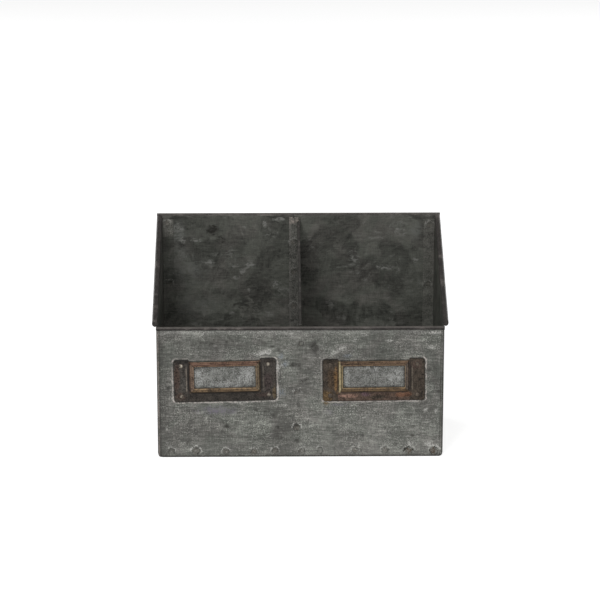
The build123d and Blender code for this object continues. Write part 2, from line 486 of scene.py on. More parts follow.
def weldMarks(start, place, colour, mottle, grain):
    gap, above, dark, pale = [start.known(one) for one in ("weldGap", "weldUp", "weldDark", "weldPale")]
    near = gap + (place.cloud(2.4 * mm, 3, 0.65, start=7.5) - 0.5) * 4.4
    broken = place.cloud(2.6 * mm, 3, 0.6, start=15.2)
    disc = near.fade(2.6, 1.4) * mottle.fade(0.36, 0.60) * dark
    colour = (disc * 1.1).mix(colour, zinc["weld"])
    colour = (near.fade(1.3, 0.4) * grain.fade(0.45, 0.65) * pale * 0.8).mix(colour, zinc["oxide"])
    ring = near.band(2.2, 1.2) * broken.fade(0.40, 0.50) * (dark + 0.3)
    colour = ring.mix(colour, zinc["grime"])
    # painted highlight: a pale crescent in the oxide colour on the upper side of each weld
    arc = near.band(3.3, 1.8) * broken.fade(0.58, 0.46) * above.fade(-2.0, 1.2)
    return (arc * (grain.fade(0.3, 0.6) * 1.1 + 0.1) * pale * 1.7).mix(colour, zinc["oxide"])


def zincPaint(name, marks=None, crest=None):
    material, start, place = newPaint(name)
    inside = start.known("inside")
    rim = start.known("rim")
    broad = place.cloud(40 * mm, 2, 0.5)
    blotch = place.cloud(9 * mm, 4, 0.62, stretch=(1.3, 1.3, 1), start=3.1, warp=0.8)
    mottle = place.cloud(3 * mm, 3, 0.62, start=6.6, warp=0.5)
    grain = place.cloud(0.85 * mm, 2, 0.7, start=8.7)
    brush = place.cloud(0.9 * mm, 2, 0.6, stretch=(7, 7, 1), start=5.3)
    upright = place.cloud(0.9 * mm, 1, 0.5, stretch=(1, 1, 6), start=2.9)
    busy = place.cloud(11 * mm, 3, 0.6, start=9.9).fade(0.36, 0.64)  # rough in places, calm in others
    tone, plume = feathers(place, 12 * mm)

    # outside: clouds, blotches, grain and level brushing, with specks of white oxide and dark pits
    scratch = place.cloud(2.6 * mm, 2, 0.55, start=17.3, warp=1.2).band(0.5, 0.07) - 0.2
    uneven = (broad - 0.5) * 1.2 + (blotch - 0.5) * 1.4 + (mottle - 0.5) * 0.6 + (plume - 0.5) * 0.6
    uneven = uneven + (tone - 0.5) * 0.3 + (grain - 0.5) * (1.4 + busy * 3.0) + (brush - 0.5) * 2.0
    uneven = uneven + (upright - 0.5) * 0.8 + scratch * (0.1 + busy * 0.35)
    outer = 1 + uneven + uneven * uneven * 0.6
    warm = place.cloud(22 * mm, 3, 0.55, start=4.1, warp=0.6).fade(0.42, 0.62)
    outside = outer.most(0.3).tint(warm.mix(zinc["outside"], zinc["outsideWarm"]))
    patches = place.cloud(14 * mm, 4, 0.65, stretch=(1.4, 1.4, 1), start=1.9, warp=0.8)
    specks = patches.fade(0.50, 0.66) * grain.fade(0.52, 0.70)
    outside = (specks * 0.5).mix(outside, zinc["oxide"])
    lucky = place.crystals(6 * mm).axes()[0]
    pits = place.crystals(6 * mm, output="Distance") + (mottle - 0.5) * 0.5
    pits = pits.fade(0.30, 0.12) * lucky.fade(0.70, 0.76)
    outside = (pits * 0.45).mix(outside, zinc["grime"])

    # inside: darker than outside, partly patina and partly painted shade, with spangle
    film = place.cloud(26 * mm, 3, 0.55, start=6.4, warp=0.5)
    inner = 0.97 + (tone - 0.5) * 0.65 + (plume - 0.5) * 1.1 + (film - 0.5) * 0.6 + (mottle - 0.5) * 0.5
    inner = inner + (grain - 0.5) * 0.8 + (brush - 0.5) * 0.9 + (upright - 0.5) * 0.4
    inner = inner.most(0.3) * (1 + place.axes()[2].fade(135 * mm, 70 * mm) * 0.3)  # painted light: paler low down, making up for light the walls keep from the lower inside
    within = inner.tint(warm.mix(zinc["inside"], zinc["insideWarm"]))
    smear = place.cloud(12 * mm, 4, 0.7, stretch=(1.6, 1.6, 0.8), start=4.4, warp=1.2).fade(0.54, 0.70)
    within = (smear * plume.fade(0.45, 0.70) * 0.7).mix(within, zinc["insidePale"])
    colour = inside.mix(outside, within)
    if marks:
        colour = marks(start, place, colour, grain, mottle, inside)
    colour = weldMarks(start, place, colour, mottle, grain)

    # rolled rims: brown-black, rubbed bright in places
    rubbed = place.cloud(7 * mm, 4, 0.7, stretch=(2, 2, 1), start=11.3).fade(0.52, 0.72)
    rimTone = 1 + (mottle - 0.5) * 1.6 + (grain - 0.5) * 1.6 + (blotch - 0.5) * 0.8
    rolled = (rubbed * 0.7).mix(rimTone.most(0.3).tint(zinc["rim"]), zinc["rimWearAndSheen"])
    if crest:  # top and radius of the roll: a pale line along the top, partly wear and partly a painted highlight; bare underneath
        top, roll = crest
        z = place.axes()[2]
        along = z.fade(top - 1.1 * mm, top - 0.3 * mm) * (0.15 + mottle * 0.7)
        rolled = along.mix(rolled, zinc["rimWearAndSheen"])
        rim = rim * z.fade(top - 1.85 * roll, top - 1.55 * roll)
    colour = rim.mix(colour, rolled)

    rough = 0.54 + (blotch - 0.5) * 0.4 + (plume - 0.5) * 0.2 - rim * 0.06
    metal = 0.25 + (broad - 0.5) * 0.2
    height = grain * 0.5 + mottle * 0.5 + brush * 0.3 - pits * 0.8
    finishPaint(start, colour, rough, metal, height, 0.12 * mm, 0.45, 0.12)
    return material


# Low front: rolled rim, sides bent back over the side panels, welds to the floor and the divider.
frontSheet = {
    "lapFlange": 12.0 * mm,
    "lowerCorner": 3.0 * mm,
    "floorWelds": [
        (-89.5, 4.2, 0.95, 0.3, 0.45), (-72.5, 4.2, 1.1, 0.5, 0.9), (-51.7, 3.8, 0.95, 0.3, 0.45),
        (-32.2, 3.8, 0.95, 0.45, 0.35), (-17.6, 4.2, 0.95, 0.35, 0.45), (1.1, 4.1, 1, 0.35, 0.3),
        (13.6, 4.6, 0.9, 0.3, 0.4), (37.9, 4.6, 0.9, 0.4, 0.4), (58.8, 4.6, 1, 0.35, 0.45),
        (75.1, 4, 1.2, 0.9, 0.75), (92.8, 4, 1.25, 1, 0.7),
    ],
    "dividerWelds": [
        (0.4, 81.6, 0.8, 0.4, 0.15), (-2.1, 47, 0.9, 0.3, 0.3), (-2.7, 20.9, 1, 0.5, 0.6),
    ],
    "lapWelds": [(-41.2, 16.0), (-40.6, 40.5), (-41.4, 63.0), (-40.9, 83.5)],
}


def makeFront():
    wallTop = frontTop - frontRollOut
    flat = cornerFace - bendOut
    lapTop = frontTop - 2 * frontRollOut - body["relief"]
    rounding = frontSheet["lowerCorner"]
    low = body["baseFlange"]
    faceSpots = frontSheet["floorWelds"] + frontSheet["dividerWelds"]
    faceWelds = metres(faceSpots)
    lapWelds = metres(frontSheet["lapWelds"])
    middle = frontFace - frontRollIn
    welds = spotWelds(faceSpots, lambda x, z: (x, frontFace, z))
    for side in (-1, 1):
        welds += spotWelds(frontSheet["lapWelds"], lambda y, z: (side * cornerFace, y, z))

    def lifted(x, z):  # rounds the lower corners
        past = max(abs(x) - (cornerFace - rounding), 0)
        foot = rounding - sqrt(max(rounding ** 2 - past ** 2, 0))
        return z if z >= low else foot + z * (1 - foot / low)

    def onWall(x, t):
        if t <= wallTop:
            z = lifted(x, t)
            return (x, frontFace, z), (x, frontInside, z), 0
        turn = t - wallTop
        radii = (frontRollIn, frontRollOut)
        return *rolledOver(turn, radii, lambda out, up: (x, middle + out, wallTop + up)), rollShare(turn)

    heights = gridLines(0, lapTop, [z for x, z in faceWelds + lapWelds if z > low])
    heights = sorted(set(heights) | set(gridLines(0, low, step=body["weldStep"])))
    wallRows = heights + [wallTop + turn for turn in rollTurns]
    across = gridLines(-flat, flat, [x for x, z in faceWelds])
    ends = [cornerFace - bendOut * i / 3 for i in range(3)]
    columns = [-x for x in ends] + across + ends[::-1]
    patches = [(columns, wallRows, onWall, lambda s, t: abs(s) < flat or t > wallTop)]

    lapEnd = bendRun + frontSheet["lapFlange"] - bendOut
    near = [bendRun + y - frontFace - bendOut for y, z in lapWelds]
    around = bendSteps + gridLines(bendRun, lapEnd, near)
    for side in (-1, 1):
        def onLap(s, t, side=side):
            points = flanged(s, lambda out, up: (side * (flat + out), frontFace + up, 0))
            z = lifted(abs(points[0].x), t)
            for point in points:
                point.z = z
            return *points, 0
        patches.append((around, heights, onLap, always))

        def onUpperLap(s, t, onLap=onLap):  # the flat of the lap rises with the side rims
            points = onLap(s, lapTop)[:2]
            for point in points:
                point.z = lapTop + t * (belowRim(point.y, 2 * rollOut) - body["relief"] - lapTop)
            return *points, 0
        patches.append(([s for s in around if s >= bendRun], [0, 0.5, 1], onUpperLap, always))
    return foldSheet("frontPanel", patches, welds, stains=frontStains)


# Tall back, the same without flanges.
backSheet = {
    "floorWelds": [(-86, 4.2), (-64, 3.7), (-45, 4), (-23, 3.6), (-3, 4.1), (21, 3.9), (43, 3.6),
                   (66, 4.2), (88, 3.8)],
    "dividerWelds": [(-3.6, 30.2), (-3.3, 57.0), (-3.8, 83.4), (-3.1, 108.9), (-3.8, 130.6)],
    "sideWelds": [(93.2, 28), (93.8, 62.5), (93, 99), (94.3, 143.3)],
}
backSheet["leftWelds"] = [(x + 0.5, z + 1.6) for x, z in backSheet["sideWelds"]]


def makeBack():
    wallTop = backTop - rollOut
    middle = backFace + rollIn
    spots = backSheet["floorWelds"] + backSheet["dividerWelds"] + backSheet["sideWelds"]
    spots += [(-x, z) for x, z in backSheet["leftWelds"]]
    welds = spotWelds(spots, lambda x, z: (x, backFace, z))
    spots = metres(spots)

    def onWall(x, t):
        if t <= wallTop:
            return (x, backFace, t), (x, backInside, t), 0
        turn = t - wallTop
        radii = (rollIn, rollOut)
        return *rolledOver(turn, radii, lambda out, up: (x, middle - out, wallTop + up)), rollShare(turn)

    rows = gridLines(0, wallTop, [z for x, z in spots])
    rows += [wallTop + turn for turn in rollTurns[1:]]
    rimEnd = sideFace + 2 * rollOut - sheet
    columns = [-rimEnd] + gridLines(-sideFace, sideFace, [x for x, z in spots]) + [rimEnd]

    def keepWall(x, t):
        return t > wallTop or abs(x) < sideFace
    return foldSheet("backPanel", [(columns, rows, onWall, keepWall)], welds, stains=backStains)


# Sloping sides: the top edge rolls outwards round its wire, the rear edge turns in against the back.
sideSheet = {
    "rearFlange": 8.5 * mm,
    "floorWelds": [(-37, 3.9), (-17, 3.6), (2, 4.1), (20, 3.7), (38, 4)],
    "capGap": 0.02 * mm,  # disc that closes the rim's front end
    "cap": 0.28 * mm,
    "capReach": (0, rollOut / 2, rollOut * 0.97),
    "capAround": 32,
    "browned": (133 * mm, 139 * mm),  # height above which the left one's rear flange is browner
}


def makeSide(name, side):
    frontEdge = frontInside + body["bend"]
    rearEdge = backInside - body["rimGap"]
    middle = side * (sideFace + rollIn)

    def edge(y):
        return belowRim(y, rollOut)

    tallest = edge(rearBend)
    flangeTop = tallest - body["relief"]
    backSpots = backSheet["sideWelds"] if side > 0 else backSheet["leftWelds"]
    welds = spotWelds(sideSheet["floorWelds"], lambda y, z: (side * sideFace, y, z))
    welds += spotWelds(backSpots, lambda x, z: (side * x, backInside - sheet, z))
    floorWelds = metres(sideSheet["floorWelds"])
    backWelds = metres(backSpots)

    def height(y, t):
        return leaned(t, edge(min(y, rearBend)), tallest)

    def onWall(y, t):
        if t <= tallest:
            z = height(y, t)
            return (side * sideFace, y, z), (side * sideInside, y, z), 0
        turn = t - tallest

        def place(out, up):
            return middle - side * out, y, edge(y) + up
        return *rolledOver(turn, (rollIn, rollOut), place, cos(slope)), rollShare(turn)

    def onFlange(s, t):
        z = height(rearBend, t)
        return *flanged(s, lambda out, up: (side * (sideFace - up), rearBend + out, z)), 0

    heights = gridLines(flangeFoot, flangeTop, [z for x, z in backWelds])
    heights = gridLines(0, body["baseFlange"], step=body["weldStep"]) + heights
    rows = heights + [tallest + turn for turn in rollTurns]
    columns = [frontInside + body["rimGap"]] + gridLines(frontEdge, rearBend, [y for y, z in floorWelds])
    columns += [(rearBend + rearEdge) / 2, rearEdge]

    def keepWall(y, t):
        if t > tallest:
            return True
        return y > frontEdge and (y < rearBend or t < body["baseFlange"])

    tips = gridLines(bendRun, bendRun + sideSheet["rearFlange"] - bendOut,
                     [bendRun + sideFace - bendOut - x for x, z in backWelds])
    flangeRows = heights[heights.index(flangeFoot):]
    patches = [(columns, rows, onWall, keepWall), (bendSteps + tips, flangeRows, onFlange, always)]

    def onCap(r, turn):
        front = columns[0] - sideSheet["capGap"]
        x = middle + cos(turn) * r
        z = edge(columns[0]) + sin(turn) * r / cos(slope)
        return (x, front - sideSheet["cap"], z), (x, front, z), 1
    turns = [2 * pi * i / sideSheet["capAround"] for i in range(sideSheet["capAround"] + 1)]
    patches.append((sideSheet["capReach"], turns, onCap, always))
    return foldSheet(name, patches, welds)


# Divider: the top edge is folded over to the left, both ends turn left against the front and the back.
dividerSheet = {
    "middle": 0.7 * mm,
    "flange": 7.7 * mm,
    "drop": 2.6 * mm,
    "foldIn": 0.4 * mm,
    "foldDown": 5.0 * mm,
    "foldSteps": 10,
    "frontWelds": [(-2.9, 81.3), (-3.1, 47), (-3.2, 21.5)],
    "rearWelds": [(-3.4, 30.2), (-3.3, 57), (-3.5, 83.4), (-3.1, 108.9), (-3.4, 130.6)],
    "worn": (143 * mm, 147 * mm),  # height above which the rear flange is rubbed
}


def makeDivider():
    rightFace = dividerSheet["middle"] + sheet / 2
    leftFace = rightFace - sheet
    webFront = frontInside + bendOut
    webRear = rearBend
    foldIn = dividerSheet["foldIn"]
    foldOut = foldIn + sheet
    down = dividerSheet["foldDown"]
    foldTop = dividerSheet["drop"] + foldOut
    fold = leftFace - foldIn

    def edge(y):
        return belowRim(y, foldTop)

    def stripFoot(y):
        return edge(y) - down / cos(slope)

    tallest = stripFoot(webRear)
    frontWelds = metres(dividerSheet["frontWelds"])
    rearWelds = metres(dividerSheet["rearWelds"])
    welds = spotWelds(dividerSheet["frontWelds"], lambda x, z: (x, frontInside + sheet, z))
    welds += spotWelds(dividerSheet["rearWelds"], lambda x, z: (x, backInside - sheet, z))

    def height(y, t):
        return leaned(t, stripFoot(min(max(y, webFront), webRear)), tallest)

    frontHeight = belowRim(frontInside, foldTop + down) - body["relief"]
    frontRow = leaned(frontHeight, tallest, stripFoot(webFront))  # the row that is so high at the front
    rearTop = backTop - rollOut - body["relief"]
    foldEnd = webRear - body["relief"]

    def onWeb(y, t):
        if t <= tallest:
            z = height(y, t)
            return (leftFace, y, z), (rightFace, y, z), 0
        if t <= tallest + down:
            z = stripFoot(y) + (t - tallest) / cos(slope)
            worn = 0.5 * smoothStep(0, down, t - tallest)
            return (leftFace, y, z), (rightFace, y, z), worn
        if t <= tallest + down + pi:
            turn = t - tallest - down
            radii = (foldIn, foldOut)
            return *rolledOver(turn, radii, lambda out, up: (fold + out, y, edge(y) + up), cos(slope)), 0.8
        z = edge(y) - (t - tallest - down - pi) / cos(slope)
        return (fold - foldIn, y, z), (fold - foldOut, y, z), 0.5

    near = [z for x, z in rearWelds]
    rows = gridLines(sheet, flangeFoot) + gridLines(flangeFoot, frontRow, near)[1:]
    rows += gridLines(frontRow, tallest, near)[1:]
    strip = [down * i / 3 for i in (1, 2, 3)]
    steps = dividerSheet["foldSteps"]
    frontRows = [t for t in rows if flangeFoot <= t <= frontRow]
    rearRows = [t for t in rows if t >= flangeFoot]
    rearRows += [tallest + one / cos(slope) for one in strip]
    rearRows += gridLines(edge(webRear), rearTop)[1:]
    rows += [tallest + one for one in strip]
    rows += [tallest + down + pi * i / steps for i in range(1, steps + 1)]
    rows += [tallest + down + pi + one for one in strip]
    columns = [frontInside + body["rimGap"]] + gridLines(webFront, foldEnd) + [webRear]

    def keepWeb(y, t):
        if t < tallest:
            return y > webFront
        return t < tallest + down or y < foldEnd

    patches = [(columns, rows, onWeb, keepWeb)]
    tip = dividerSheet["flange"] - bendOut
    for end, spots, endRows in ((-1, frontWelds, frontRows), (1, rearWelds, rearRows)):
        def onFlange(s, t, end=end):
            z = height(webFront, t) if end < 0 else t
            return *flanged(s, lambda out, up: (rightFace - up, end * (webRear + out), z))[::-1], 0

        tips = gridLines(bendRun, bendRun + tip, [bendRun + rightFace - bendOut - x for x, z in spots])
        patches.append((bendSteps + tips, endRows, onFlange, always))
    return foldSheet("dividerWall", patches, welds, True)


# Floor pan with its four edges turned up inside the walls and its corners drawn tight.
basePan = {
    "cornerSteps": 6,
    "floorStep": 6 * mm,
    "flangeStep": 2 * mm,
}


def makeBase():
    halfX = sideInside - bendOut
    halfY = rearBend
    tip = body["baseFlange"] - bendOut
    floorX = gridLines(-halfX, halfX, step=basePan["floorStep"])
    floorY = gridLines(-halfY, halfY, step=basePan["floorStep"])

    def onFloor(x, y):
        return (x, y, 0), (x, y, sheet), 0

    patches = [(floorX, floorY, onFloor, always)]
    around = bendSteps + gridLines(bendRun, bendRun + tip, step=basePan["flangeStep"])
    steps = basePan["cornerSteps"]
    fan = [pi / 2 * i / steps for i in range(steps + 1)]
    for side in (-1, 1):
        def onEnd(s, along, side=side):
            return *flanged(s, lambda out, z: (side * (halfX + out), along, z)), 0

        def onLong(s, along, side=side):
            return *flanged(s, lambda out, z: (along, side * (halfY + out), z)), 0
        patches.append((around, floorY, onEnd, always))
        patches.append((around, floorX, onLong, always))
        for end in (-1, 1):
            def onCorner(s, turn, side=side, end=end):
                x, y = side * cos(turn), end * sin(turn)
                return *flanged(s, lambda out, z: (side * halfX + x * out, end * halfY + y * out, z)), 0
            patches.append((around, fan, onCorner, always))
    return foldSheet("floorPan", patches, [])


# Label frames: cast, dark bronze with a streaky patina. Each side of the border has its own colour, halo
# is how much pale oxide lies along the left, right, upper and lower edge, and spots are patches about the
# plate's centre.
labelFrames = {
    "left": {
        "centre": (-51.95, 55.7), "tilt": 1.2,
        "top": shade(92, 70, 60), "bottom": shade(92, 75, 56),
        "left": shade(98, 82, 71), "right": shade(88, 77, 63),
        "ears": shade(58, 54, 50), "strip": shade(50, 46, 42),
        "groove": (0.9, 0.35), "halo": (0.7, 0.8, 0.3, 0.95), "bright": 0.0, "dirtAndShade": 0.8,
        "spots": (
            (-33, 1, 2.4, 12, shade(70, 54, 47), 0.6), (33.8, -9, 1.6, 5, shade(96, 82, 60), 0.5),
            (29.5, -1, 4, 8, shade(56, 46, 45), 0.6), (-28.5, -2, 3, 6, shade(76, 74, 70), 0.5),
            (-31, -11, 4, 3, shade(76, 60, 52), 0.5), (26, -11, 6, 2, shade(62, 48, 44), 0.5),
            (-30.5, 14, 5, 2.4, shade(30, 28, 26), 0.7), (30, 13.5, 5, 2.2, shade(34, 30, 27), 0.6),
        ),
        "rivets": (shade(80, 72, 64), shade(206, 198, 182)), "wear": (1.0, 0.4, 0.3, 0.3),
    },
    "right": {
        "centre": (50.55, 55.7), "tilt": 0.6,
        "top": shade(86, 69, 56), "bottom": shade(80, 64, 46),
        "left": shade(104, 93, 70), "right": shade(76, 68, 62),
        "ears": shade(60, 53, 46), "strip": shade(74, 61, 53),
        "groove": (0.0, 0.6), "halo": (0.3, 0.9, 0.25, 0.7), "bright": 0.95, "dirtAndShade": 0.45,
        "spots": (
            (-26, 0, 1.8, 11, shade(110, 84, 54), 0.8), (-32.5, -11, 4.5, 5, shade(100, 80, 52), 0.65),
            (-29.5, 0, 3, 9, shade(68, 54, 40), 0.6), (-18, -11.3, 8, 1.5, shade(128, 102, 90), 0.75),
            (20, -10.8, 9, 1.8, shade(108, 76, 58), 0.7), (2, -12.6, 6, 1.5, shade(46, 44, 37), 0.6),
            (-6, -10.4, 4, 1.8, shade(84, 66, 74), 0.6), (29, 10, 4, 4, shade(76, 60, 54), 0.5),
            (-31, 13.5, 5, 2.6, shade(38, 33, 27), 0.6), (30.5, -12, 5, 2.4, shade(36, 32, 26), 0.6),
        ),
        "rivets": (shade(64, 56, 49), shade(130, 118, 104)), "wear": (0.3, 0.3, 0.2, 0.4),
    },
    "window": (21.1, -5.1, 10.1),  # half width, foot and top about the plate's centre
    "plate": (35.2, 15.0),
    "corner": 2,  # its rounding
    "border": 24.6,  # half width over the raised border
    "slotDrop": 1.3,  # open top edge below the ears
    "gold": shade(158, 138, 106),
    "grime": shade(26, 23, 21),
    "ridgeHighlight": shade(214, 198, 160),
    "foldHighlight": shade(142, 132, 120),
    "softEdge": 0.28 * mm,
    "joinWithin": 0.002 * mm,
}


def frameAxes(place, look):  # across and up the plate, in millimetres from its centre
    x, y, z = place.axes()
    tilt = radians(look["tilt"])
    across = x * (1 / mm) - look["centre"][0]
    up = z * (1 / mm) - look["centre"][1]
    return across * cos(tilt) + up * sin(tilt), up * cos(tilt) - across * sin(tilt)


def bronzePaint(name, look):
    material, start, place = newPaint(name)
    u, v = frameAxes(place, look)
    half, foot, top = labelFrames["window"]
    edge = labelFrames["border"]
    pastSide = abs(u) - half
    pastTop = v - top
    pastFoot = foot - v
    fromWindow = pastSide.most(0.0).length(pastTop.most(pastFoot).most(0.0))
    patina = place.cloud(5 * mm, 4, 0.65, start=2.7, warp=0.6)
    mottle = place.cloud(2.2 * mm, 3, 0.62, start=7.9, warp=0.4)
    grain = place.cloud(0.9 * mm, 2, 0.65, start=6.1)
    streak = place.cloud(1.1 * mm, 3, 0.6, stretch=(7, 1, 1), start=9.3)
    grime = labelFrames["grime"]

    # border in four mitred sides, ears and lower strip flat
    isTop = (pastTop - pastFoot).fade(-0.3, 0.3)
    isSide = (pastSide - pastTop.most(pastFoot)).fade(-0.12, 0.12)
    ends = isTop.mix(look["bottom"], look["top"])
    border = isSide.mix(ends, u.fade(-1.0, 1.0).mix(look["left"], look["right"]))
    onBorder = abs(u).fade(edge + 0.15, edge - 0.15) * v.fade(foot - 3.65, foot - 3.35)
    flat = abs(u).fade(edge - 0.5, edge + 0.5).mix(look["strip"], look["ears"])
    for across, up, wide, tall, paint, share in look["spots"]:
        out = ((u - across) * (1 / wide)).length((v - up) * (1 / tall))
        flat = ((out + (patina - 0.5) * 2.2).fade(1.15, 0.5) * share).mix(flat, paint)
    colour = onBorder.mix(flat, border)
    tone = 1 + (patina - 0.5) * 1.6 + (mottle - 0.5) * 2.0 + (grain - 0.5) * 3.2
    tone = tone + (streak - 0.5) * (0.5 + onBorder * (1 - isSide) * 2.2)
    colour = tone.most(0.25).tint(colour)

    # rubbed lines along the window and the ridge; painted shade with some dirt at the window's edge and the
    # border's foot; dark lines on the mitres
    rubbed = fromWindow.band(0.6, 0.9) * 0.7 + fromWindow.band(2.2, 0.7) * 0.35
    rubbed = rubbed + pastTop.band(3.4, 0.6) * isTop * 0.5
    rubbed = rubbed * onBorder * patina.fade(0.30, 0.62)
    colour = (rubbed * 0.6).mix(colour, labelFrames["gold"])
    # painted shade, with some dirt: dark at the window's edge and along the border's foot
    dirtAndShade = fromWindow.band(1.4, 0.7) * 0.3 + fromWindow.fade(0.3, 0.0) * 0.6
    skirt = fromWindow.fade(2.6, 3.5) * fromWindow.fade(4.6, 3.9) * look["dirtAndShade"]
    dirtAndShade = dirtAndShade + skirt * (1 - isTop * (1 - isSide))
    mitre = (pastSide - pastTop.most(pastFoot)).band(0.0, 0.6) * onBorder * 0.6
    colour = dirtAndShade.most(mitre).least(0.9).mix(colour, grime)
    # painted highlight along the ridge of the right frame's left border, with painted shade just inside it
    onLeft = u.fade(0.0, -1.0) * abs(v - 2.5).fade(12.0, 10.0) * look["bright"]
    colour = (onLeft * pastSide.band(1.4, 0.8) * 0.6).mix(colour, grime)
    bright = onLeft * pastSide.band(2.35, 1.1) * mottle.fade(0.2, 0.5)
    colour = bright.mix(colour, labelFrames["ridgeHighlight"])

    # painted shade in the groove beside the border, and a painted highlight where a fold in the ears
    # catches the light
    fold = u.fade(-1.0, 1.0) * look["groove"][1] + u.fade(1.0, -1.0) * look["groove"][0]
    fold = fold * abs(v - 1.0).fade(10.0, 7.0)
    colour = (abs(u).band(edge + 0.6, 1.6) * (0.35 + fold * 0.5)).mix(colour, grime)
    lit = abs(u).band(edge + 1.9, 1.1) * fold * mottle.fade(0.3, 0.55) * 0.7
    colour = lit.mix(colour, labelFrames["foldHighlight"])
    plateX, plateZ = labelFrames["plate"]
    toEdge = (plateX - abs(u)).least(plateZ - abs(v))
    colour = (toEdge.fade(0.9, 0.1) * 0.45).mix(colour, grime)

    rough = 0.5 + (patina - 0.5) * 0.4 - rubbed * 0.12
    metal = 0.2 + rubbed * 0.25
    height = patina * 0.6 + mottle * 0.5 + grain * 0.4
    finishPaint(start, colour, rough, metal, height, 0.14 * mm, 0.6, 0.15)
    return material


# What the years left on the front: pale and dark patches, oxide round the label frames, paler zinc in
# their windows.
frontStains = {
    "oxide": (
        (-29.8, 73.9, 3.6, 1.3, 0.6), (-26.4, 75, 4.4, 1.6, 0.75), (-22.7, 76, 3.4, 2, 0.95),
        (21.9, 73.5, 2.4, 1.3, 0.7), (23.9, 75.3, 2.4, 1.6, 0.75), (26.7, 77.4, 3, 1.8, 0.75),
        (29.4, 78.7, 2.4, 1.8, 0.7), (-12.7, 65.6, 2.4, 1.8, 0.5), (-12, 37.5, 8, 2.2, 0.3),
        (-94, 89, 3.6, 1.1, 0.6), (-66.8, 88.8, 1.2, 0.9, 0.7), (92, 89, 8, 1.7, 0.55),
        (88.5, 78.8, 9, 1.8, 0.3), (61, 83.4, 3.2, 1.2, 0.6), (37.4, 84.2, 1.6, 2.2, 0.5),
        (44, 88.4, 3, 2.2, 0.45), (-7, 88, 7, 3.2, 0.3), (-69, 32.2, 2.4, 1.6, 0.55),
        (46, 27.8, 4, 1.3, 0.45), (60.5, 25.6, 1.8, 0.9, 0.6), (14.5, 25.4, 3.2, 1, 0.4),
        (76.5, 9.2, 4.2, 2.2, 0.55), (88.5, 9.2, 3.8, 2.2, 0.65), (86.6, 33.2, 1.9, 1.8, 0.75),
        (94, 33, 1.3, 1.8, 0.6), (-91.8, 20.5, 1.8, 2.6, 0.4), (-92.2, 9.5, 2.2, 3.4, 0.35),
        (-15.7, 48, 1.5, 5, 0.75), (-15.6, 64.5, 1.3, 3.6, 0.7), (-18, 41.2, 3.4, 1.3, 0.6),
        (-42, 39.4, 9, 1, 0.5), (-88.2, 44, 1.2, 4, 0.5), (78, 40.2, 5, 1, 0.5),
    ),
    "slate": (
        (-12.9, 72.4, 2.6, 2.6, 0.6), (-10.6, 67, 2.6, 3, 0.6), (-13.4, 46.2, 4, 4.5, 0.45),
        (32.5, 72.8, 3.4, 1.8, 0.5),
    ),
    "grime": (
        (-15.4, 77.1, 2.6, 1.5, 0.7), (-19.5, 79.4, 2.4, 1.3, 0.6), (-5.1, 66.3, 2.8, 2.4, 0.55),
        (3, 82, 1.8, 1.6, 0.35), (-25.5, 82, 6, 4, 0.3), (-49, 83.5, 1.8, 6, 0.25),
        (-95, 80, 3, 6, 0.35), (55, 75.6, 4.5, 1.8, 0.35), (93.5, 63, 4, 14, 0.3),
        (-50.6, 22.4, 2.6, 2.2, 0.55), (-68, 24, 5, 5, 0.25), (-18.2, 30.6, 2.8, 1.6, 0.5),
        (-15.9, 21.3, 1.8, 1.7, 0.7), (-15.8, 16, 2.6, 6.5, 0.4), (-3.2, 23.4, 1.3, 3, 0.5),
        (-2.6, 11.6, 2.8, 1.5, 0.8), (0, 60, 10, 34, 0.32), (-60, 18, 12, 3, 0.25),
        (-60, 82, 34, 6, 0.34), (29, 27, 3.5, 2.6, 0.4), (43, 15.8, 1.3, 2.4, 0.45),
        (77.5, 15, 2.4, 2, 0.45), (-12, 46, 5, 9, 0.15), (0, 65, 2, 2, 0.45), (-2, 40, 1.6, 2.4, 0.3),
    ),
    "pool": (
        (9.3, 79.1, 3.1, 5, 0.95), (2.6, 82.4, 1.3, 1.3, 0.5), (-50.6, 22.4, 2.5, 2.1, 0.6),
        (-3.2, 23.2, 1.6, 3.4, 0.6), (-15.9, 21.3, 1.7, 1.6, 0.7), (-2.8, 11.6, 2.6, 1.4, 0.75),
        (-5.1, 66.4, 2.4, 1.7, 0.55), (-15.4, 77, 2.6, 1, 0.6), (43.2, 15.4, 1.3, 2.1, 0.6),
        (77.6, 15.2, 1.7, 1.5, 0.6), (-18, 30.4, 2.4, 1.5, 0.5), (29, 27.2, 2.8, 1.9, 0.5),
    ),
    "card": (
        (-70.5, 57.5, 4, 7.5, 0.75), (-38, 58.5, 7, 7.5, 0.7), (-52, 52.6, 19, 2.6, 0.6),
        (31.5, 56.5, 3.2, 8, 0.45), (65, 57, 7, 5.5, 0.55), (50, 64, 10, 2, 0.4),
    ),
    "mauve": (
        (-57, 34, 17, 3.6, 0.6), (26.5, 37.6, 6, 1.4, 0.55), (19.5, 32.5, 4, 3, 0.4),
    ),
    "rust": (
        (17, 38.9, 3.6, 2.4, 0.5),
    ),
}


